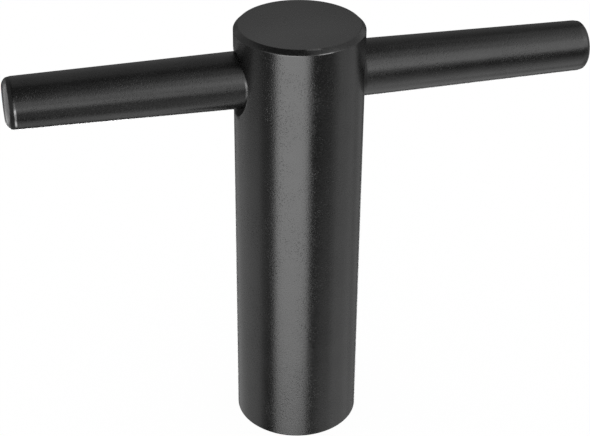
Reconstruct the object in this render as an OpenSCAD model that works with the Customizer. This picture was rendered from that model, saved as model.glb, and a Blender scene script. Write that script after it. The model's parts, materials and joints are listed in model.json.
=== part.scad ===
// Toggle nut with a fixed bar, blackened steel.
// Origin: centre of the body's foot, on the body's axis. +Z points up the body, +X along the bar.
// The nut stands on its foot, and its tapped hole opens downwards.

/* [Body] */
// Diameter of the body
body_d = 14.2; // [12:0.1:24]
// Height of the body, foot to top face
body_h = 50; // [42:1:100]
// Width of the chamfer round the top face
top_chamfer = 0.5; // [0.2:0.1:1.2]
// Width of the small chamfer round the foot
foot_chamfer = 0.2; // [0.1:0.1:0.8]

/* [Tapped hole] */
// Outer diameter of the thread
thread_d = 8; // [6:1:10]
// Pitch of the thread
thread_pitch = 1.25; // [1:0.25:1.5]
// Depth of the drilled hole, without its pointed end
drill_depth = 24; // [12:1:30]
// Included angle of the drill's point
drill_point_angle = 118; // [90:1:150]
// How much wider the countersunk mouth is than the thread
mouth_allowance = 0.1; // [0:0.05:0.75]
// Included angle of the countersunk mouth
mouth_angle = 120; // [90:5:120]

/* [Cross bore] */
// Depth of the bar's axis below the top face
bar_drop = 5.8; // [5.2:0.1:10]
// How much wider the countersink is than the bar, where it breaks the body's side
sink_allowance = 1.1; // [0.4:0.1:2.4]
// Included angle of the countersink
sink_angle = 90; // [60:5:120]

/* [Bar] */
// Diameter of the bar where it is pressed into the body
bar_d = 6.2; // [4:0.1:7.5]
// Length of the bar over its rounded ends
bar_l = 64.5; // [48:0.5:110]
// How far the bar is pressed in past its middle, towards +X
bar_offset = 0.65; // [0:0.05:1]
// Length over which an arm loses one millimetre of diameter
taper_ratio = 40; // [30:5:200]
// Width of the chamfer round each end, across the bar
end_chamfer = 0.1; // [0.1:0.1:1]
// Length of the chamfer round each end, along the bar
end_chamfer_l = 0.5; // [0.2:0.1:1.5]
// Height of the rounded end, from its chamfer to its flat face
end_crown = 0.5; // [0.1:0.05:1]
// Radius of the rounding round the flat face
end_round = 1.1; // [1:0.1:1.6]

/* [Hidden] */
$fn = 96;

// Overshoot of a cut past the face that it opens in
overshoot = 1;

body_r = body_d / 2;
bar_r = bar_d / 2;
bar_z = body_h - bar_drop;

// Tapped hole: the drill leaves the thread's core, and the mouth is a little wider than the thread
drill_r = (thread_d - thread_pitch) / 2;
drill_point_h = drill_r / tan(drill_point_angle / 2);
mouth_r = (thread_d + mouth_allowance) / 2;
mouth_depth = (mouth_r - drill_r) / tan(mouth_angle / 2);

// Countersink of the cross bore, measured where the body's side is furthest out
sink_r = bar_r + sink_allowance / 2;
sink_depth = (sink_r - bar_r) / tan(sink_angle / 2);

// Bar: a straight seat through the body, then an arm that tapers to a chamfered, rounded end
seat_l = body_d + 2 * bar_offset;
rim_x = bar_l / 2 - end_crown - end_chamfer_l;
rim_r = bar_r - (rim_x - seat_l / 2) / taper_ratio / 2;
round_angle = acos(1 - end_crown / end_round);
face_r = rim_r - end_chamfer - end_round * sin(round_angle);
round_steps = 8;

// Point on the rounding, from the chamfer at step 0 to the flat face at the last step
function round_point(step) =
    let (angle = round_angle * (1 - step / round_steps))
    [face_r + end_round * sin(angle), bar_l / 2 - end_round * (1 - cos(angle))];

// Turned outline of one arm, as radius and distance from the bar's middle
arm_outline = concat(
    [[bar_r, seat_l / 2], [rim_r, rim_x]],
    [for (step = [0:round_steps]) round_point(step)],
    [[0, bar_l / 2]]
);

// The same outline for the other arm, in the order that closes the bar's outline
mirrored_outline = [
    for (i = [len(arm_outline) - 1:-1:0]) [arm_outline[i][0], -arm_outline[i][1]]
];

// Turned outline of the body, from the foot to the top face
module body_outline() {
    polygon([
        [0, 0],
        [body_r - foot_chamfer, 0],
        [body_r, foot_chamfer],
        [body_r, body_h - top_chamfer],
        [body_r - top_chamfer, body_h],
        [0, body_h]
    ]);
}

// Drilled hole with its pointed end and countersunk mouth
module tapped_hole() {
    rotate_extrude()
        polygon([
            [0, -overshoot],
            [mouth_r + overshoot * tan(mouth_angle / 2), -overshoot],
            [drill_r, mouth_depth],
            [drill_r, drill_depth],
            [0, drill_depth + drill_point_h]
        ]);
}

// Bore for the bar, along X, with a countersink at both mouths
module cross_bore() {
    rotate([0, 90, 0]) {
        cylinder(h = body_d + 2 * overshoot, r = bar_r, center = true);
        for (side = [0, 1])
            mirror([0, 0, side])
                translate([0, 0, body_r - sink_depth])
                    cylinder(
                        h = sink_depth + overshoot,
                        r1 = bar_r,
                        r2 = sink_r + overshoot * tan(sink_angle / 2)
                    );
    }
}

module nut_body() {
    color("#4a4a4c")
        difference() {
            rotate_extrude() body_outline();
            tapped_hole();
            translate([0, 0, bar_z]) cross_bore();
        }
}

module toggle_bar() {
    color("#3e3e40")
        translate([bar_offset, 0, bar_z])
            rotate([0, 90, 0])
                rotate_extrude() polygon(concat(mirrored_outline, arm_outline));
}

nut_body();
toggle_bar();
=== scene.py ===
"""Looks of a toggle nut with a fixed bar, in blackened steel.

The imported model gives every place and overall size. The body and the bar are turned again here as
finer meshes with eased edges, the body's hole gets its screw thread, and both get their finish.
"""

import json
import logging
import math
from dataclasses import dataclass
from enum import Enum
from typing import Callable, Sequence

import bpy
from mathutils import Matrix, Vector


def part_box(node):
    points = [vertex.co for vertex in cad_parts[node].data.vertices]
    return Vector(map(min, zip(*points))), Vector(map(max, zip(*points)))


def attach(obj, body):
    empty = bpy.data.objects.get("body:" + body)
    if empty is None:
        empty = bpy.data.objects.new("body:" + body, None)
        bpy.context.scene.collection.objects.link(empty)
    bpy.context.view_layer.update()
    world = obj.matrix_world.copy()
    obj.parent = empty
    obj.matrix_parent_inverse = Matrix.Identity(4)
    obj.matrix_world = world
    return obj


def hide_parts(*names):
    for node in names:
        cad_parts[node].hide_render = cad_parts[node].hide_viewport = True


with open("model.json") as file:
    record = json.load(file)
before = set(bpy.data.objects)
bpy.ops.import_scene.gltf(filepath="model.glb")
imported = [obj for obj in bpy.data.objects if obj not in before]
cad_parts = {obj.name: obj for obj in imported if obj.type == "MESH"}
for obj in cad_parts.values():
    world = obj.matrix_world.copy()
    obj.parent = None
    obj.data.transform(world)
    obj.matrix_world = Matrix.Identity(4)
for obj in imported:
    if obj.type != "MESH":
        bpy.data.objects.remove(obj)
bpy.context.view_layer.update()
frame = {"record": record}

LOG = logging.getLogger("toggle_nut")
MM = 0.001
HALF_TURN = 180.0
PHOTO_WIDTH_PX = 590
SENSOR_WIDTH_MM = 36.0
SMOOTH_ANGLE = math.radians(25)
WHITE = (1.0, 1.0, 1.0, 1.0)

Colour = tuple[float, float, float, float]
Socket = bpy.types.NodeSocket


def direction(azimuth: float, elevation: float) -> Vector:
    """Finds the direction that lies at an azimuth and an elevation.

    Args:
        azimuth: Degrees from the front, the -Y side, towards +X.
        elevation: Degrees above the horizon.

    Returns:
        The unit vector.
    """
    turn, rise = math.radians(azimuth), math.radians(elevation)
    return Vector((math.sin(turn) * math.cos(rise), -math.cos(turn) * math.cos(rise), math.sin(rise)))


def clear_selection() -> None:
    """Leaves edit mode and deselects every object."""
    if bpy.context.mode != "OBJECT":
        bpy.ops.object.mode_set(mode="OBJECT")
    bpy.ops.object.select_all(action="DESELECT")


def select_only(piece: bpy.types.Object) -> None:
    """Makes one object the selected and active one.

    Args:
        piece: The object that the next operators work on.
    """
    clear_selection()
    piece.select_set(True)
    bpy.context.view_layer.objects.active = piece


def select_edges(piece: bpy.types.Object, wanted: Callable[[Vector, Vector], bool]) -> None:
    """Selects a mesh's edges by the places of their two ends.

    Args:
        piece: The mesh object, in object mode.
        wanted: Says of an edge's two ends whether the edge is selected.
    """
    mesh = piece.data
    for group in (mesh.polygons, mesh.edges, mesh.vertices):
        group.foreach_set("select", [False] * len(group))
    for edge in mesh.edges:
        start, end = (mesh.vertices[index].co for index in edge.vertices)
        edge.select = wanted(start, end)


def face_outwards() -> None:
    """Turns every face of the mesh in edit mode outwards, and leaves edit mode."""
    bpy.ops.mesh.select_all(action="SELECT")
    bpy.ops.mesh.normals_make_consistent(inside=False)
    bpy.ops.object.mode_set(mode="OBJECT")


def cut_away(piece: bpy.types.Object, cutter: bpy.types.Object) -> None:
    """Cuts one solid out of another and deletes the cutter.

    Args:
        piece: The solid that stays.
        cutter: The solid that is cut away.
    """
    select_only(piece)
    modifier = piece.modifiers.new("cut", "BOOLEAN")
    modifier.operation = "DIFFERENCE"
    modifier.solver = "EXACT"
    modifier.object = cutter
    bpy.ops.object.modifier_apply(modifier=modifier.name)
    bpy.data.objects.remove(cutter)


class TurningAxis(Enum):
    """Direction of the axis that a piece is turned about."""

    UPRIGHT = "Z"
    LENGTHWISE = "X"

    @property
    def direction(self) -> Vector:
        """Unit vector along the axis."""
        return Vector((0, 0, 1)) if self is TurningAxis.UPRIGHT else Vector((1, 0, 0))

    @property
    def disc_rotation(self) -> tuple[float, float, float]:
        """Rotation that lays a new disc square to the axis."""
        return (0, 0, 0) if self is TurningAxis.UPRIGHT else (0, math.pi / 2, 0)

    def resize(self, ratio: float) -> tuple[float, float, float]:
        """Scale that changes a disc's radius by ratio and leaves its place."""
        return (ratio, ratio, 1) if self is TurningAxis.UPRIGHT else (1, ratio, ratio)


@dataclass(frozen=True)
class Station:
    """One corner of a turned outline: its place along the axis and its radius, in metres."""

    place: float
    radius: float


@dataclass(frozen=True)
class Lathe:
    """Turns round solids about one axis.

    Attributes:
        axis: The direction of the axis.
        origin: A point on the axis, from which places are counted.
        segments: How many flats stand for a full round.
        ease_steps: How many flats stand for an eased edge.
        tolerance: How far a point may lie from a ring and still be on it.
    """

    axis: TurningAxis
    origin: Vector
    segments: int
    ease_steps: int = 4
    tolerance: float = 0.001 * MM

    def at(self, place: float) -> Vector:
        """Point on the axis at a place."""
        return self.origin + self.axis.direction * place

    def turn(self, name: str, outline: Sequence[Station]) -> bpy.types.Object:
        """Turns a closed solid: a disc, extruded and resized from station to station.

        Args:
            name: The new object's name.
            outline: The stations, from the lowest place to the highest.

        Returns:
            The solid, with its place in its mesh.
        """
        clear_selection()
        before = outline[0]
        bpy.ops.mesh.primitive_circle_add(
            vertices=self.segments,
            radius=before.radius,
            fill_type="NGON",
            location=self.at(before.place),
            rotation=self.axis.disc_rotation,
        )
        piece = bpy.context.active_object
        piece.name = name
        bpy.ops.object.mode_set(mode="EDIT")
        bpy.ops.mesh.select_all(action="SELECT")
        for station in outline[1:]:
            step = self.axis.direction * (station.place - before.place)
            bpy.ops.mesh.extrude_region_move(TRANSFORM_OT_translate={"value": step})
            bpy.ops.transform.resize(
                value=self.axis.resize(station.radius / before.radius),
                center_override=self.at(station.place),
            )
            before = station
        face_outwards()
        bpy.ops.object.transform_apply(location=True, rotation=True, scale=True)
        return piece

    def ease(self, piece: bpy.types.Object, station: Station, width: float) -> None:
        """Rounds the ring edge that stands at one station of a turned solid.

        Args:
            piece: The solid.
            station: The ring's place and radius.
            width: How far the rounding reaches from the edge.
        """

        def on_ring(point: Vector) -> bool:
            """Says whether a point lies on the ring."""
            along = (point - self.origin).dot(self.axis.direction)
            off_place = abs(along - station.place)
            off_radius = abs((point - self.at(along)).length - station.radius)
            return max(off_place, off_radius) < self.tolerance

        select_only(piece)
        select_edges(piece, lambda start, end: on_ring(start) and on_ring(end))
        bpy.ops.object.mode_set(mode="EDIT")
        bpy.context.tool_settings.mesh_select_mode = (False, True, False)
        bpy.ops.mesh.bevel(offset=width, segments=self.ease_steps, affect="EDGES")
        bpy.ops.object.mode_set(mode="OBJECT")


class NodeBench:
    """Short way to wire the nodes of one tree."""

    def __init__(self, tree: bpy.types.NodeTree) -> None:
        """Empties the tree and keeps it."""
        self.tree = tree
        tree.nodes.clear()

    def node(self, kind: str, **settings: object) -> bpy.types.Node:
        """Adds a node.

        Args:
            kind: The node's type.
            **settings: The node's own settings, by name.

        Returns:
            The node.
        """
        made = self.tree.nodes.new(kind)
        for name, value in settings.items():
            setattr(made, name, value)
        return made

    def feed(self, value: object, socket: Socket) -> None:
        """Gives a socket its value.

        Args:
            value: An output to link, or a plain value.
            socket: The input that takes it.
        """
        if isinstance(value, Socket):
            self.tree.links.new(value, socket)
        else:
            socket.default_value = value

    def feed_all(self, made: bpy.types.Node, values: Sequence[object]) -> bpy.types.Node:
        """Gives a node's first inputs their values.

        Args:
            made: The node.
            values: Outputs or plain values, in the order of the inputs.

        Returns:
            The node.
        """
        for value, socket in zip(values, made.inputs):
            self.feed(value, socket)
        return made

    def math(self, operation: str, *values: object) -> Socket:
        """Adds a Math node on up to three values and returns its result."""
        return self.feed_all(self.node("ShaderNodeMath", operation=operation), values).outputs[0]

    def ramp(self, value: object, low: float, high: float, at_low: float, at_high: float) -> Socket:
        """Maps a value smoothly from one range to another and returns the result."""
        made = self.node("ShaderNodeMapRange", interpolation_type="SMOOTHSTEP")
        return self.feed_all(made, (value, low, high, at_low, at_high)).outputs[0]

    def blend(self, share: object, first: object, second: object) -> Socket:
        """Mixes two shaders, with the second one's share from 0 to 1, and returns the result."""
        return self.feed_all(self.node("ShaderNodeMixShader"), (share, first, second)).outputs[0]

    def mix(self, kind: str, share: object, first: object, second: object) -> Socket:
        """Mixes two numbers or colours.

        Args:
            kind: What is mixed, FLOAT or RGBA.
            share: The second one's share, from 0 to 1.
            first: The first number or colour.
            second: The second one.

        Returns:
            The mixture.
        """
        made = self.node("ShaderNodeMix", data_type=kind)
        for value, name in ((share, "Factor"), (first, "A"), (second, "B")):
            self.feed(value, made.inputs[name])
        return made.outputs["Result"]

    def vector(self, operation: str, *values: object) -> Socket:
        """Adds a Vector Math node on up to two vectors.

        Args:
            operation: What the node does.
            *values: The vectors.

        Returns:
            The result, a number or a vector.
        """
        made = self.feed_all(self.node("ShaderNodeVectorMath", operation=operation), values)
        number = operation in ("DOT_PRODUCT", "LENGTH", "DISTANCE")
        return made.outputs["Value" if number else "Vector"]

    def scaled(self, vector: object, factor: object) -> Socket:
        """Multiplies a vector or colour by a number.

        Args:
            vector: The vector or colour.
            factor: The number.

        Returns:
            The product.
        """
        made = self.feed_all(self.node("ShaderNodeVectorMath", operation="SCALE"), (vector,))
        self.feed(factor, made.inputs["Scale"])
        return made.outputs["Vector"]

    def noise(self, place: object, scale: float, detail: float) -> Socket:
        """Adds a noise.

        Args:
            place: The place that it is read at.
            scale: How many spots it has to a unit of the place.
            detail: How many finer layers it has.

        Returns:
            Its value, around the middle between 0 and 1.
        """
        made = self.node("ShaderNodeTexNoise")
        for value, name in ((place, "Vector"), (scale, "Scale"), (detail, "Detail")):
            self.feed(value, made.inputs[name])
        return made.outputs["Fac"]

    def coordinates(self, place: object) -> tuple[Socket, ...]:
        """Takes a place apart into its x, y and z."""
        return tuple(self.feed_all(self.node("ShaderNodeSeparateXYZ"), (place,)).outputs)


def new_material(name: str) -> tuple[bpy.types.Material, NodeBench]:
    """Makes a material that is still without nodes.

    Args:
        name: The material's name.

    Returns:
        The material, and the bench that wires it.
    """
    material = bpy.data.materials.new(name)
    material.use_nodes = True
    return material, NodeBench(material.node_tree)


@dataclass(frozen=True)
class Mottle:
    """An uneven pattern over the surface.

    Attributes:
        scale: How many spots it has to a millimetre.
        detail: How many finer layers it has.
        low: The value at which it starts to show.
        high: The value at which it shows in full.
    """

    scale: float
    detail: float
    low: float = 0.0
    high: float = 1.0

    def value(self, bench: NodeBench, place: Socket) -> Socket:
        """Plain value of the pattern at a place in millimetres."""
        return bench.noise(place, self.scale, self.detail)

    def shown(self, bench: NodeBench, place: Socket, at_low: float, at_high: float) -> Socket:
        """Pattern at a place in millimetres, from at_low where it is absent to at_high where it is full."""
        return bench.ramp(self.value(bench, place), self.low, self.high, at_low, at_high)


class Measure(Enum):
    """What stays the same along a mark."""

    HEIGHT = "Z"
    LENGTHWISE = "X"
    FROM_BODY_AXIS = "from the body's axis"

    def read(self, bench: NodeBench, place: Socket) -> Socket:
        """Reads the measure.

        Args:
            bench: The material's bench.
            place: The place that it is read at.

        Returns:
            The measure at that place.
        """
        if self is Measure.FROM_BODY_AXIS:
            return bench.vector("LENGTH", bench.vector("MULTIPLY", place, (1, 1, 0)))
        along_x, _, along_z = bench.coordinates(place)
        return along_z if self is Measure.HEIGHT else along_x


@dataclass(frozen=True)
class Mark:
    """A small place whose finish differs: a line where the oxide wore off, a paler place painted as a
    highlight, a roughened band darkened as painted shade.

    Attributes:
        measure: What stays the same along the mark.
        at: That measure, in millimetres.
        half_width: Half the mark's width, in millimetres.
        middle: Where it is strongest, in millimetres.
        reach: How far from there it fades out, in millimetres.
        strength: How strong it is there, from 0 to 1.
        core: Half widths from its middle line up to which it has full strength.
        rim: Half widths from that line at which it ends.
        full_reach: Share of the reach within which it doesn't fade.
    """

    measure: Measure
    at: float
    half_width: float
    middle: tuple[float, float, float]
    reach: float
    strength: float
    core: float = 0.5
    rim: float = 1.5
    full_reach: float = 0.4

    def mask(self, bench: NodeBench, place: Socket) -> Socket:
        """Finds how strong the mark is at a place.

        Args:
            bench: The material's bench.
            place: The place, in millimetres.

        Returns:
            The strength, from 0 to the mark's own.
        """
        off = bench.math("ABSOLUTE", bench.math("SUBTRACT", self.measure.read(bench, place), self.at))
        line = bench.ramp(off, self.core * self.half_width, self.rim * self.half_width, self.strength, 0.0)
        away = bench.vector("DISTANCE", place, self.middle)
        near = bench.ramp(away, self.full_reach * self.reach, self.reach, 1.0, 0.0)
        return bench.math("MULTIPLY", line, near)


@dataclass(frozen=True)
class BlackenedSteel:
    """Satin black oxide on turned steel, with bare metal where the edges wear, paler marks painted as
    highlights and roughened marks darkened as painted shade.

    Attributes:
        name: The material's name.
        wear_and_highlight_marks: Marks of bare steel, partly wear beyond the other edges and partly painted
            highlights and painted sheen.
        rough_and_shade: Roughened marks, whose colour is also darkened as painted shade. Their strength is
            their roughness.
        deep_oxide: Colour of the deepest oxide.
        thin_oxide: Colour of the thinner oxide between.
        bare_steel_and_highlight: Colour where the oxide is gone, also used for the painted highlights and
            sheen.
        metallic: How metallic the surface is.
        grain: The oxide's fine grain.
        patches: The broad patches of the oxide.
        oxide_range: Grain and patches together where the oxide is deepest, and where it is thinnest.
        patch_weight: Weight of the patches against the grain in the colour.
        roughness: Mean roughness of the satin.
        grain_roughness: How far the grain changes the roughness.
        patch_roughness: How far the patches change it.
        painted_shade_darkening: How much colour a roughened mark takes away as painted shade, at its full
            strength.
        pits: The fine pits.
        pit_patches: Where the pits are dense.
        fewest_pits: How many pits are left between those places, from 0 to 1.
        pit_depth: Depth of the pits, in heights of the grain.
        grain_height: Height of the grain, in metres.
        bump: How strongly grain and pits tilt the surface.
        edge_width: Reach of the edges' wear, in millimetres.
        edge_turn: Cosine of an edge's turn at which it is worn fully.
        edge_samples: How many directions are looked at to find an edge.
        edge_breaks: The unevenness of the edges' wear.
        edge_wear: How much of an edge wears bare, where it is most and where it is least.
    """

    name: str
    wear_and_highlight_marks: tuple[Mark, ...]
    rough_and_shade: tuple[Mark, ...]
    deep_oxide: Colour = (0.063, 0.063, 0.063, 1)
    thin_oxide: Colour = (0.079, 0.079, 0.079, 1)
    bare_steel_and_highlight: Colour = (0.75, 0.75, 0.75, 1)
    metallic: float = 0.95
    grain: Mottle = Mottle(scale=5.0, detail=3.0)
    patches: Mottle = Mottle(scale=0.35, detail=4.0)
    oxide_range: tuple[float, float] = (0.5, 1.1)
    patch_weight: float = 0.6
    roughness: float = 0.27
    grain_roughness: float = 0.16
    patch_roughness: float = 0.08
    painted_shade_darkening: float = 0.55
    pits: Mottle = Mottle(scale=6.0, detail=1.0, low=0.56, high=0.70)
    pit_patches: Mottle = Mottle(scale=0.22, detail=3.0, low=0.42, high=0.62)
    fewest_pits: float = 0.25
    pit_depth: float = 1.5
    grain_height: float = 0.01 * MM
    bump: float = 0.5
    edge_width: float = 0.12
    edge_turn: float = 0.93
    edge_samples: int = 6
    edge_breaks: Mottle = Mottle(scale=1.6, detail=4.0, low=0.38, high=0.6)
    edge_wear: tuple[float, float] = (0.25, 0.12)

    def build(self) -> bpy.types.Material:
        """Wires the material.

        Returns:
            The finished material.
        """
        material, bench = new_material(self.name)
        scale_up = bench.node("ShaderNodeMapping")
        scale_up.inputs["Scale"].default_value = (1 / MM, 1 / MM, 1 / MM)
        bench.feed(bench.node("ShaderNodeTexCoord").outputs["Object"], scale_up.inputs["Vector"])
        place = scale_up.outputs["Vector"]
        grain = self.grain.value(bench, place)
        patches = self.patches.value(bench, place)
        rough_and_shade = self.strongest(bench, place, 0.0, self.rough_and_shade)

        shader = bench.node("ShaderNodeBsdfPrincipled")
        shader.inputs["Metallic"].default_value = self.metallic
        bench.feed(self.colour(bench, place, grain, patches, rough_and_shade), shader.inputs["Base Color"])
        bench.feed(self.satin(bench, grain, patches, rough_and_shade), shader.inputs["Roughness"])
        bench.feed(self.relief(bench, place, grain), shader.inputs["Normal"])
        out = bench.node("ShaderNodeOutputMaterial")
        bench.feed(shader.outputs["BSDF"], out.inputs["Surface"])
        return material

    def colour(
        self, bench: NodeBench, place: Socket, grain: Socket, patches: Socket, rough_and_shade: Socket
    ) -> Socket:
        """Mixes the oxide's colour, bare steel where the edges wear and on the painted highlights, and the
        painted shade of the roughened marks.

        Args:
            bench: The material's bench.
            place: The place, in millimetres.
            grain: The grain there.
            patches: The patches there.
            rough_and_shade: How roughened a mark is there, which also sets its painted shade.

        Returns:
            The colour.
        """
        uneven = bench.math("ADD", grain, bench.math("MULTIPLY", patches, self.patch_weight))
        thinness = bench.ramp(uneven, *self.oxide_range, 0.0, 1.0)
        oxide = bench.mix("RGBA", thinness, self.deep_oxide, self.thin_oxide)
        # Bare steel where the edges wear, and on the marks that are painted highlights and painted sheen.
        wear_and_highlight_share = self.strongest(bench, place, self.worn_edges(bench, place), self.wear_and_highlight_marks)
        steel = bench.mix("RGBA", wear_and_highlight_share, oxide, self.bare_steel_and_highlight)
        # Painted shade: the roughened marks darken the colour.
        return bench.scaled(steel, bench.math("MULTIPLY_ADD", rough_and_shade, -self.painted_shade_darkening, 1.0))

    def satin(self, bench: NodeBench, grain: Socket, patches: Socket, rough_and_shade: Socket) -> Socket:
        """Finds the roughness: uneven with grain and patches, and higher on the roughened marks.

        Args:
            bench: The material's bench.
            grain: The grain at the place.
            patches: The patches there.
            rough_and_shade: How roughened a mark is there.

        Returns:
            The roughness.
        """
        smoothest = self.roughness - self.grain_roughness / 2
        fine = bench.math("MULTIPLY_ADD", grain, self.grain_roughness, smoothest)
        broad = bench.math("MULTIPLY_ADD", patches, self.patch_roughness, -self.patch_roughness / 2)
        return bench.math("MAXIMUM", bench.math("ADD", fine, broad), rough_and_shade)

    def relief(self, bench: NodeBench, place: Socket, grain: Socket) -> Socket:
        """Tilts the surface with the grain and the pits.

        Args:
            bench: The material's bench.
            place: The place, in millimetres.
            grain: The grain there.

        Returns:
            The surface's direction.
        """
        dense = self.pit_patches.shown(bench, place, self.fewest_pits, 1.0)
        pits = bench.math("MULTIPLY", self.pits.shown(bench, place, 0.0, 1.0), dense)
        tilt = bench.node("ShaderNodeBump")
        tilt.inputs["Strength"].default_value = self.bump
        tilt.inputs["Distance"].default_value = self.grain_height
        bench.feed(bench.math("MULTIPLY_ADD", pits, -self.pit_depth, grain), tilt.inputs["Height"])
        return tilt.outputs["Normal"]

    def worn_edges(self, bench: NodeBench, place: Socket) -> Socket:
        """Finds how far the edges wear bare.

        Args:
            bench: The material's bench.
            place: The place, in millimetres.

        Returns:
            The share of bare metal there, from 0 to 1.
        """
        eased = bench.node("ShaderNodeBevel", samples=self.edge_samples)
        eased.inputs["Radius"].default_value = self.edge_width * MM
        surface = bench.node("ShaderNodeNewGeometry").outputs["Normal"]
        alike = bench.vector("DOT_PRODUCT", eased.outputs["Normal"], surface)
        return bench.math(
            "MULTIPLY",
            bench.ramp(alike, 1.0, self.edge_turn, 0.0, 1.0),
            self.edge_breaks.shown(bench, place, *self.edge_wear),
        )

    @staticmethod
    def strongest(bench: NodeBench, place: Socket, share: object, marks: tuple[Mark, ...]) -> Socket:
        """Raises a share to the strongest mark at a place.

        Args:
            bench: The material's bench.
            place: The place, in millimetres.
            share: The share without the marks.
            marks: The marks.

        Returns:
            The raised share.
        """
        for mark in marks:
            share = bench.math("MAXIMUM", share, mark.mask(bench, place))
        return share


def dress(piece: bpy.types.Object, finish: BlackenedSteel, node: str) -> None:
    """Gives a finished piece its material and its place in the model.

    Args:
        piece: The finished piece.
        finish: Its finish.
        node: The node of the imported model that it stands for.
    """
    piece.data.materials.clear()
    piece.data.materials.append(finish.build())
    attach(piece, "root")
    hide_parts(node)
    LOG.info("%s: %d faces, stands for %s", piece.name, len(piece.data.polygons), node)


@dataclass(frozen=True)
class NutBody:
    """The turned body: a chamfered bar of steel with a tapped hole below and a countersunk cross bore.

    Attributes:
        top_chamfer: Height and width of the chamfer at the top.
        foot_chamfer: Height and width of the chamfer at the foot.
        edge_ease: How far the eased edges reach.
        drill_half_angle: Half the angle of the drill's point.
        drill_tip: Radius of the small flat at the end of the drill's point.
        mouth_radius: Radius of the tapped hole's countersunk mouth at the foot.
        mouth_half_angle: Half the angle of that countersink.
        thread_radius: Radius of the thread's groove.
        thread_pitch: Rise of the thread in one turn.
        thread_depth: Length of the tap, rounded up to whole turns. Its first turn is below the foot.
        flank_angle: Slope of the thread's flanks.
        crest_share: Share of the pitch that the flat bottom of the thread's groove takes.
        ridge_root: How far the tap's ridge stands clear inside the hole's wall.
        thread_steps: How many flats stand for one turn of the thread.
        sink_margin: How far the cross bore's countersinks are wider than the bar.
        sink_drop: How far below the bar's axis the left mouth's second countersink stands.
        segments: How many flats stand for the body's round.
        bore_segments: How many flats stand for a hole's round.
        overshoot: How far a cutter stands out of the surface that it cuts.
        side_share: Share of the radius beyond which a face belongs to the side.
        upright: How far the side's faces may lean.
    """

    top_chamfer: float = 0.5 * MM
    foot_chamfer: float = 0.2 * MM
    edge_ease: float = 0.05 * MM
    drill_half_angle: float = math.radians(59)
    drill_tip: float = 0.05 * MM
    mouth_radius: float = 4.05 * MM
    mouth_half_angle: float = math.radians(60)
    thread_radius: float = 4.0 * MM
    thread_pitch: float = 1.25 * MM
    thread_depth: float = 19.0 * MM
    flank_angle: float = math.radians(30)
    crest_share: float = 1 / 8
    ridge_root: float = 0.25 * MM
    thread_steps: int = 96
    sink_margin: float = 0.55 * MM
    sink_drop: float = 0.45 * MM
    segments: int = 256
    bore_segments: int = 192
    overshoot: float = 1.0 * MM
    side_share: float = 0.99
    upright: float = 1e-3

    @property
    def radius(self) -> float:
        """Radius of the body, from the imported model."""
        low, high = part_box("nut_body")
        return (high.x - low.x) / 2

    @property
    def height(self) -> float:
        """Height of the top face above the foot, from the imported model."""
        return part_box("nut_body")[1].z

    @property
    def drilled(self) -> Station:
        """Top and radius of the drilled hole's wall, from the record's mount."""
        mount = next(m for m in frame["record"]["mounts"] if m["name"] == "thread")
        top = mount["pos_m"][2] + mount["dims"]["length_mm"] * MM
        return Station(top, mount["dims"]["r_mm"] * MM)

    def build(self, bar_radius: float, bar_height: float) -> bpy.types.Object:
        """Turns the body and cuts its holes.

        Args:
            bar_radius: Radius of the bar's seat.
            bar_height: Height of the bar's axis.

        Returns:
            The finished body.
        """
        lathe = Lathe(TurningAxis.UPRIGHT, Vector((0, 0, 0)), self.segments)
        outline = [
            Station(0, self.radius - self.foot_chamfer),
            Station(self.foot_chamfer, self.radius),
            Station(self.height - self.top_chamfer, self.radius),
            Station(self.height, self.radius - self.top_chamfer),
        ]
        body = lathe.turn("nut_body_turned", outline)
        for station in outline:
            lathe.ease(body, station, self.edge_ease)
        cutters = (
            self.drill(),
            self.cross_bore(bar_radius, bar_height),
            self.low_sink(bar_radius, bar_height),
            self.tap_ridge(),
        )
        for cutter in cutters:
            cut_away(body, cutter)
        self.shade(body)
        return body

    def drill(self) -> bpy.types.Object:
        """Turns the drilled hole with its point and its countersunk mouth.

        Returns:
            The cutter.
        """
        lathe = Lathe(TurningAxis.UPRIGHT, Vector((0, 0, 0)), self.bore_segments)
        top, core = self.drilled.place, self.drilled.radius
        point_rise = (core - self.drill_tip) / math.tan(self.drill_half_angle)
        spread = math.tan(self.mouth_half_angle)
        return lathe.turn("drill", [
            Station(-self.overshoot, self.mouth_radius + self.overshoot * spread),
            Station((self.mouth_radius - core) / spread, core),
            Station(top, core),
            Station(top + point_rise, self.drill_tip),
        ])

    def cross_bore(self, bar_radius: float, bar_height: float) -> bpy.types.Object:
        """Turns the cross bore with the countersinks of both its mouths.

        Args:
            bar_radius: Radius of the bar's seat.
            bar_height: Height of the bar's axis.

        Returns:
            The cutter.
        """
        lathe = Lathe(TurningAxis.LENGTHWISE, Vector((0, 0, bar_height)), self.bore_segments)
        outside = self.radius + self.overshoot
        sink_start = self.radius - self.sink_margin
        wide = bar_radius + self.sink_margin + self.overshoot
        return lathe.turn("cross_bore", [
            Station(-outside, wide),
            Station(-sink_start, bar_radius),
            Station(sink_start, bar_radius),
            Station(outside, wide),
        ])

    def low_sink(self, bar_radius: float, bar_height: float) -> bpy.types.Object:
        """Turns a second countersink for the left mouth, where the tool ran a little low.

        Args:
            bar_radius: Radius of the bar's seat.
            bar_height: Height of the bar's axis.

        Returns:
            The cutter.
        """
        lathe = Lathe(TurningAxis.LENGTHWISE, Vector((0, 0, bar_height - self.sink_drop)), self.bore_segments)
        depth = 2 * self.sink_margin
        return lathe.turn("low_sink", [
            Station(-self.radius - self.overshoot, bar_radius + self.sink_margin + self.overshoot),
            Station(-self.radius + depth, bar_radius + self.sink_margin - depth),
        ])

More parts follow.
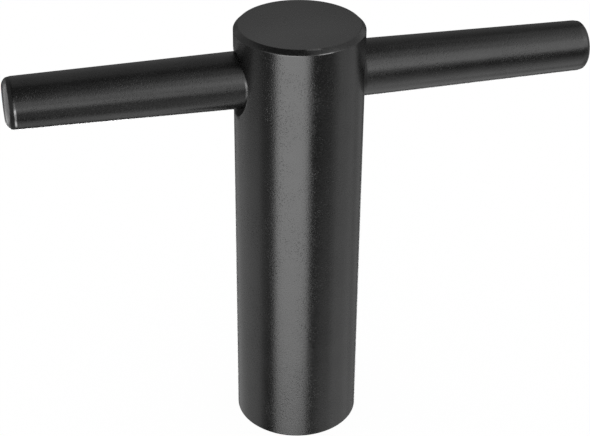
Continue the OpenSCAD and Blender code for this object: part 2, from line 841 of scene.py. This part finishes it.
    def tap_ridge(self) -> bpy.types.Object:
        """Winds the ridge of the tap, which leaves the thread's groove in the hole's wall.

        Returns:
            The cutter.
        """
        inner = self.drilled.radius - self.ridge_root
        crest = self.thread_pitch * self.crest_share
        flank = math.tan(self.flank_angle) * (self.thread_radius - inner)
        clear_selection()
        bpy.ops.mesh.primitive_plane_add(size=2, rotation=(math.pi / 2, 0, 0))
        ridge = bpy.context.active_object
        ridge.name = "tap_ridge"
        bpy.ops.object.transform_apply(location=True, rotation=True, scale=True)
        for vertex in ridge.data.vertices:
            outer_side = vertex.co.x > 0
            half = crest / 2 if outer_side else crest / 2 + flank
            rise = half if vertex.co.z > 0 else -half
            vertex.co = (self.thread_radius if outer_side else inner, 0, rise - self.thread_pitch)
        bpy.ops.object.mode_set(mode="EDIT")
        bpy.ops.mesh.select_all(action="SELECT")
        bpy.ops.mesh.delete(type="ONLY_FACE")
        bpy.ops.object.mode_set(mode="OBJECT")
        screw = ridge.modifiers.new("helix", "SCREW")
        screw.angle = math.tau
        screw.screw_offset = self.thread_pitch
        screw.iterations = math.ceil(self.thread_depth / self.thread_pitch)
        screw.steps = screw.render_steps = self.thread_steps
        select_only(ridge)
        bpy.ops.object.modifier_apply(modifier=screw.name)
        bpy.ops.object.mode_set(mode="EDIT")
        bpy.ops.mesh.select_all(action="SELECT")
        bpy.ops.mesh.fill_holes(sides=4)
        face_outwards()
        return ridge

    def shade(self, body: bpy.types.Object) -> None:
        """Smooths the body, and gives its side the true normals of a cylinder.

        Args:
            body: The finished body.
        """
        select_only(body)
        bpy.ops.object.shade_smooth_by_angle(angle=SMOOTH_ANGLE)
        mesh = body.data
        normals = [Vector((0, 0, 0))] * len(mesh.loops)
        inside = self.radius * self.side_share
        for face in mesh.polygons:
            middle = Vector((face.center.x, face.center.y, 0))
            if abs(face.normal.z) > self.upright or middle.length < inside:
                continue
            for index in face.loop_indices:
                point = mesh.vertices[mesh.loops[index].vertex_index].co
                normals[index] = Vector((point.x, point.y, 0)).normalized()
        mesh.normals_split_custom_set(normals)

    def finish(self) -> BlackenedSteel:
        """Chooses the finish: wear lines on the top's edges that are also painted highlights, painted sheen
        on the top's front, and painted shade below the left mouth.

        Returns:
            The finish.
        """
        top = self.height / MM
        rim = (self.height - self.top_chamfer) / MM
        # Bare-steel line on the top chamfer's lower edge at the front: wear, and a painted highlight.
        chamfer_wear_and_highlight = Mark(
            Measure.HEIGHT, at=rim, half_width=0.06,
            middle=(-3.3, -6.3, rim), reach=2.9, strength=0.14,
        )
        # A short bare-steel nick on the same edge: wear, and a painted highlight.
        chamfer_nick_and_highlight = Mark(
            Measure.HEIGHT, at=rim, half_width=0.05,
            middle=(1.05, -7.0, rim), reach=1.1, strength=0.3,
        )
        # A short bare-steel nick on the top face's edge: wear, and a painted highlight.
        upper_nick_and_highlight = Mark(
            Measure.FROM_BODY_AXIS, at=6.62, half_width=0.09,
            middle=(-0.2, -6.6, top), reach=1.1, strength=0.25,
        )
        # Painted sheen: the top face is paler towards its front.
        top_front_painted_sheen = Mark(
            Measure.HEIGHT, at=top, half_width=0.03,
            middle=(1.0, -10.0, top), reach=17.0, strength=0.08,
        )
        # Roughened countersink below the left mouth, darkened as painted shade under the bar.
        sink_rough_and_shade = Mark(
            Measure.LENGTHWISE, at=-6.65, half_width=0.45,
            middle=(-6.65, -0.5, 40.75), reach=1.6, strength=0.7,
        )
        wear_and_highlight_marks = (chamfer_wear_and_highlight, chamfer_nick_and_highlight, upper_nick_and_highlight, top_front_painted_sheen)
        return BlackenedSteel("blackened_body", wear_and_highlight_marks, rough_and_shade=(sink_rough_and_shade,))


@dataclass(frozen=True)
class ToggleBar:
    """The fixed bar: a straight seat in the body and an arm each side that tapers to a rounded end.

    Attributes:
        end_chamfer: How much thinner the short cone makes each end.
        end_chamfer_length: Length of that cone.
        end_crown: How far the end's face stands out past the cone.
        end_round: Radius of the rounding between the cone and the face.
        taper_ratio: Length in which an arm gets thinner by one unit.
        edge_ease: How far the eased edges reach.
        round_steps: How many flats stand for the rounding.
        segments: How many flats stand for the bar's round.
    """

    end_chamfer: float = 0.1 * MM
    end_chamfer_length: float = 0.5 * MM
    end_crown: float = 0.5 * MM
    end_round: float = 1.1 * MM
    taper_ratio: float = 40.0
    edge_ease: float = 0.06 * MM
    round_steps: int = 12
    segments: int = 192

    @property
    def radius(self) -> float:
        """Radius of the seat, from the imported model."""
        low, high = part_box("toggle_bar")
        return (high.z - low.z) / 2

    @property
    def height(self) -> float:
        """Height of the bar's axis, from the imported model."""
        low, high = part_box("toggle_bar")
        return (high.z + low.z) / 2

    @property
    def half_length(self) -> float:
        """Distance from the bar's middle to its tip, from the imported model."""
        low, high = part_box("toggle_bar")
        return (high.x - low.x) / 2

    @property
    def offset(self) -> float:
        """How far the bar's middle lies past the body's axis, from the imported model."""
        low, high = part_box("toggle_bar")
        return (high.x + low.x) / 2

    @property
    def rim(self) -> float:
        """Distance from the bar's middle to the edge where an arm's taper ends."""
        return self.half_length - self.end_crown - self.end_chamfer_length

    def build(self, body_radius: float) -> bpy.types.Object:
        """Turns the bar.

        Args:
            body_radius: Radius of the body that the straight seat runs through.

        Returns:
            The finished bar.
        """
        seat_half = body_radius + self.offset
        rim_radius = self.radius - (self.rim - seat_half) / self.taper_ratio / 2
        spread = math.acos(1 - self.end_crown / self.end_round)
        face_radius = rim_radius - self.end_chamfer - self.end_round * math.sin(spread)
        rounding = []
        for step in range(1, self.round_steps + 1):
            angle = spread * (1 - step / self.round_steps)
            rise = self.end_round * (1 - math.cos(angle))
            rounding.append(Station(self.half_length - rise, face_radius + self.end_round * math.sin(angle)))
        corners = [
            Station(self.rim, rim_radius),
            Station(self.rim + self.end_chamfer_length, rim_radius - self.end_chamfer),
        ]
        arm = [Station(seat_half, self.radius), *corners, *rounding]
        other = [Station(-station.place, station.radius) for station in reversed(arm)]
        lathe = Lathe(TurningAxis.LENGTHWISE, Vector((self.offset, 0, self.height)), self.segments)
        bar = lathe.turn("toggle_bar_turned", [*other, *arm])
        for corner in corners:
            lathe.ease(bar, corner, self.edge_ease)
            lathe.ease(bar, Station(-corner.place, corner.radius), self.edge_ease)
        select_only(bar)
        bpy.ops.object.shade_smooth_by_angle(angle=SMOOTH_ANGLE)
        return bar

    def finish(self) -> BlackenedSteel:
        """Chooses the finish: wear lines on the left end and by the left mouth that are also painted
        highlights, painted sheen on the end face, and painted shade on the end's cone and by the right mouth.

        Returns:
            The finish.
        """
        axis = self.height / MM
        rim = (self.offset - self.rim) / MM
        # Bare-steel line on the left end's lower front edge: wear, and a painted highlight.
        end_edge_wear_and_highlight = Mark(
            Measure.LENGTHWISE, at=rim, half_width=0.1,
            middle=(rim, -2.7, axis - 0.65), reach=1.5, strength=1.0,
        )
        # A fainter bare-steel line along the same edge: wear, and a painted highlight.
        end_line_wear_and_highlight = Mark(
            Measure.LENGTHWISE, at=rim, half_width=0.08,
            middle=(rim, -2.75, axis), reach=2.0, strength=0.12,
        )
        # Painted sheen: the left end's face is made paler.
        end_face_painted_sheen = Mark(
            Measure.LENGTHWISE, at=-31.3, half_width=0.15,
            middle=(-31.3, 1.5, axis), reach=3.5, strength=0.12,
        )
        # Bare-steel crescent on the bar where it leaves the left mouth: wear, and a painted highlight.
        seat_edge_wear_and_highlight = Mark(
            Measure.FROM_BODY_AXIS, at=7.2, half_width=0.09,
            middle=(-6.5, -3.1, 44.35), reach=1.2, strength=0.3,
        )
        # Roughened cone at the left end, darkened as painted shade.
        end_cone_rough_and_shade = Mark(
            Measure.LENGTHWISE, at=-30.92, half_width=0.2,
            middle=(-30.9, -2.7, 44.0), reach=6.5, strength=0.62,
        )
        # Roughened bar inside the right mouth, darkened as painted shade.
        seat_rough_and_shade = Mark(
            Measure.LENGTHWISE, at=6.55, half_width=0.25,
            middle=(6.6, -2.4, 45.6), reach=4.0, strength=0.5,
        )
        wear_and_highlight_marks = (end_edge_wear_and_highlight, end_line_wear_and_highlight, end_face_painted_sheen, seat_edge_wear_and_highlight)
        return BlackenedSteel("blackened_bar", wear_and_highlight_marks, rough_and_shade=(end_cone_rough_and_shade, seat_rough_and_shade))


@dataclass(frozen=True)
class Panel:
    """A soft light panel of the surroundings, as the object sees it.

    Attributes:
        azimuth: Degrees to the right of the camera's own direction.
        elevation: Degrees above the horizon.
        half_width: Half the panel's width, in degrees.
        half_height: Half its height, in degrees.
        edge: How many degrees its edges take to fade, on each side of the edge.
        strength: What it adds, where 1 is white.
    """

    azimuth: float
    elevation: float
    half_width: float
    half_height: float
    edge: float
    strength: float

    def light(self, bench: NodeBench, turn: Socket, rise: Socket) -> Socket:
        """Finds the panel's light in one direction.

        Args:
            bench: The bench of the surroundings.
            turn: Degrees to the right of the camera's own direction.
            rise: Degrees above the horizon.

        Returns:
            The light that comes from there.
        """
        aside = bench.math("WRAP", bench.math("SUBTRACT", turn, self.azimuth), HALF_TURN, -HALF_TURN)
        across = bench.math("ABSOLUTE", aside)
        above = bench.math("ABSOLUTE", bench.math("SUBTRACT", rise, self.elevation))
        wide = bench.ramp(across, self.half_width - self.edge, self.half_width + self.edge, 1.0, 0.0)
        tall = bench.ramp(above, self.half_height - self.edge, self.half_height + self.edge, 1.0, 0.0)
        return bench.math("MULTIPLY", bench.math("MULTIPLY", wide, tall), self.strength)


@dataclass(frozen=True)
class SoftBox:
    """A rectangular lamp, turned to the object, that shines on one piece only.

    Attributes:
        node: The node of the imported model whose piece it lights.
        azimuth: Degrees to the right of the camera's own direction.
        elevation: Degrees above the horizon.
        half_width: Half its width as the object sees it, in degrees.
        half_height: Half its height, in degrees.
        strength: Its brightness, where 1 is white.
    """

    node: str
    azimuth: float
    elevation: float
    half_width: float
    half_height: float
    strength: float

    def hang(self, camera_azimuth: float, aim: Vector, piece: bpy.types.Object, distance: float) -> None:
        """Hangs the lamp.

        Args:
            camera_azimuth: The camera's azimuth, in degrees.
            aim: The point that the lamp is turned to.
            piece: The piece that it lights.
            distance: How far away it hangs, in metres.
        """
        back = direction(self.azimuth + camera_azimuth, self.elevation)
        name = f"soft_box_{self.node}"
        data = bpy.data.lights.new(name, "AREA")
        data.shape = "RECTANGLE"
        data.size = 2 * distance * math.tan(math.radians(self.half_width))
        data.size_y = 2 * distance * math.tan(math.radians(self.half_height))
        data.energy = self.strength * math.pi * data.size * data.size_y
        data.diffuse_factor = 0.0
        lamp = bpy.data.objects.new(name, data)
        bpy.context.scene.collection.objects.link(lamp)
        lamp.location = aim + back * distance
        lamp.rotation_euler = back.to_track_quat("Z", "Y").to_euler()
        lamp.visible_camera = False
        receivers = bpy.data.collections.new(f"lit_by_{lamp.name}")
        receivers.objects.link(piece)
        lamp.light_linking.receiver_collection = receivers


@dataclass(frozen=True)
class Studio:
    """Plain pale floor, soft surroundings, lamps and the camera, matched to the photograph.

    Attributes:
        azimuth: The camera's direction from the object, in degrees from the front towards +X.
        elevation: The camera's height above the horizon, in degrees.
        roll: How far the camera leans, in degrees.
        distance: From the camera to the point that it looks at.
        aside: How far that point lies to the picture's right of the body's axis.
        aim_height: The height of that point.
        focal_px: Focal length in pixels of the photograph.
        nearest: Shortest distance that the camera sees, in metres.
        farthest: Longest distance that it sees.
        floor_size: Side of the floor.
        floor_drop: How far the floor lies under the foot.
        floor_white: How far the camera sees the floor as plain white, from 0 to 1.
        box_distance: How far away the lamps hang.
        shade: What the steel reflects between the panels, where 1 is white.
        panels: Soft light panels of the surroundings, which the steel reflects.
        boxes: Lamps that each light one piece.
    """

    azimuth: float = -14.481
    elevation: float = 30.818
    roll: float = 0.4615
    distance: float = 170.97 * MM
    aside: float = -0.334 * MM
    aim_height: float = 26.046 * MM
    focal_px: float = 1499.0
    nearest: float = 0.01
    farthest: float = 20.0
    floor_size: float = 6.0
    floor_drop: float = 0.01 * MM
    floor_white: float = 0.97
    box_distance: float = 1.5
    shade: float = 0.062
    panels: tuple[Panel, ...] = (
        Panel(azimuth=52, elevation=26, half_width=31, half_height=20, edge=4, strength=0.95),
        Panel(azimuth=107, elevation=-42, half_width=43, half_height=55, edge=3, strength=0.33),
        Panel(azimuth=-113, elevation=-43, half_width=42, half_height=18, edge=3, strength=0.50),
        Panel(azimuth=87, elevation=38, half_width=58, half_height=30, edge=4, strength=0.41),
        Panel(azimuth=179, elevation=-34, half_width=14, half_height=5, edge=3, strength=2.82),
        Panel(azimuth=-172, elevation=54, half_width=24, half_height=48, edge=30, strength=0.30),
        Panel(azimuth=55, elevation=-58, half_width=15, half_height=12, edge=27, strength=2.11),
        Panel(azimuth=-7, elevation=10, half_width=41, half_height=15, edge=3, strength=0.70),
        Panel(azimuth=-95, elevation=16, half_width=51, half_height=26, edge=3, strength=0.26),
    )
    boxes: tuple[SoftBox, ...] = (
        SoftBox("nut_body", azimuth=-11, elevation=-22, half_width=26, half_height=20, strength=3.22),
        SoftBox("toggle_bar", azimuth=-15, elevation=-10, half_width=40, half_height=10, strength=1.29),
        SoftBox("toggle_bar", azimuth=88, elevation=45, half_width=20, half_height=19, strength=0.39),
        SoftBox("toggle_bar", azimuth=50, elevation=-89, half_width=34, half_height=17, strength=0.50),
        SoftBox("toggle_bar", azimuth=-89, elevation=-6, half_width=36, half_height=40, strength=1.88),
        SoftBox("toggle_bar", azimuth=-162, elevation=-36, half_width=9, half_height=7, strength=4.02),
        SoftBox("toggle_bar", azimuth=26, elevation=-34, half_width=40, half_height=14, strength=0.22),
        SoftBox("nut_body", azimuth=94, elevation=-34, half_width=19, half_height=13, strength=0.36),
        SoftBox("nut_body", azimuth=-78, elevation=-33, half_width=40, half_height=6, strength=0.26),
    )

    def place_camera(self) -> None:
        """Places the camera at the photograph's view."""
        back = direction(self.azimuth, self.elevation)
        turn = math.radians(self.azimuth)
        right = Vector((math.cos(turn), math.sin(turn), 0))
        aim = right * self.aside + Vector((0, 0, self.aim_height))
        data = bpy.data.cameras.new("photo_camera")
        data.sensor_width = SENSOR_WIDTH_MM
        data.lens = self.focal_px / PHOTO_WIDTH_PX * SENSOR_WIDTH_MM
        data.clip_start, data.clip_end = self.nearest, self.farthest
        camera = bpy.data.objects.new("photo_camera", data)
        bpy.context.scene.collection.objects.link(camera)
        camera.location = aim + back * self.distance
        camera.rotation_euler = (-back).to_track_quat("-Z", "Y").to_euler()
        camera.rotation_euler.rotate_axis("Z", math.radians(self.roll))
        bpy.context.scene.camera = camera

    def lay_floor(self) -> None:
        """Lays the floor: white to the camera but for a faint shadow, and see-through from below."""
        clear_selection()
        bpy.ops.mesh.primitive_plane_add(size=self.floor_size, location=(0, 0, -self.floor_drop))
        floor = bpy.context.active_object
        floor.name = "studio_floor"
        material, bench = new_material("pale_floor")
        matt = bench.node("ShaderNodeBsdfDiffuse")
        matt.inputs["Color"].default_value = WHITE
        white = bench.node("ShaderNodeEmission")
        camera_ray = bench.node("ShaderNodeLightPath").outputs["Is Camera Ray"]
        seen = bench.math("MULTIPLY", camera_ray, self.floor_white)
        above = bench.blend(seen, matt.outputs["BSDF"], white.outputs["Emission"])
        below = bench.node("ShaderNodeBsdfTransparent").outputs["BSDF"]
        behind = bench.node("ShaderNodeNewGeometry").outputs["Backfacing"]
        out = bench.node("ShaderNodeOutputMaterial")
        bench.feed(bench.blend(behind, above, below), out.inputs["Surface"])
        floor.data.materials.append(material)
        floor.visible_glossy = False

    def light(self) -> None:
        """Builds the surroundings: plain white, but a dim studio with soft panels where steel reflects it."""
        world = bpy.data.worlds.new("soft_studio")
        bpy.context.scene.world = world
        world.use_nodes = True
        bench = NodeBench(world.node_tree)
        x, y, z = bench.coordinates(bench.node("ShaderNodeTexCoord").outputs["Generated"])
        to_degrees = math.degrees(1)
        rise = bench.math("MULTIPLY", bench.math("ARCSINE", z), to_degrees)
        turn = bench.math("ARCTAN2", x, bench.math("MULTIPLY", y, -1.0))
        turn = bench.math("MULTIPLY_ADD", turn, to_degrees, -self.azimuth)
        studio = self.shade
        for panel in self.panels:
            studio = bench.math("ADD", studio, panel.light(bench, turn, rise))
        reflected = bench.node("ShaderNodeLightPath").outputs["Is Glossy Ray"]
        background = bench.node("ShaderNodeBackground")
        background.inputs["Color"].default_value = WHITE
        bench.feed(bench.mix("FLOAT", reflected, 1.0, studio), background.inputs["Strength"])
        out = bench.node("ShaderNodeOutputWorld")
        bench.feed(background.outputs["Background"], out.inputs["Surface"])
        world.cycles.sampling_method = "NONE"

    def hang_boxes(self, pieces: dict[str, bpy.types.Object]) -> None:
        """Hangs the lamps, each for its own piece.

        Args:
            pieces: The finished pieces, by the nodes that they stand for.
        """
        aim = Vector((0, 0, self.aim_height))
        for soft_box in self.boxes:
            soft_box.hang(self.azimuth, aim, pieces[soft_box.node], self.box_distance)


def main() -> None:
    """Builds the studio and the two pieces."""
    logging.basicConfig(level=logging.INFO)
    bpy.context.scene.view_settings.view_transform = "Standard"
    studio = Studio()
    studio.place_camera()
    studio.lay_floor()
    studio.light()

    nut, bar = NutBody(), ToggleBar()
    pieces = {"nut_body": nut.build(bar.radius, bar.height), "toggle_bar": bar.build(nut.radius)}
    dress(pieces["nut_body"], nut.finish(), "nut_body")
    dress(pieces["toggle_bar"], bar.finish(), "toggle_bar")
    studio.hang_boxes(pieces)


if __name__ == "__main__":
    main()
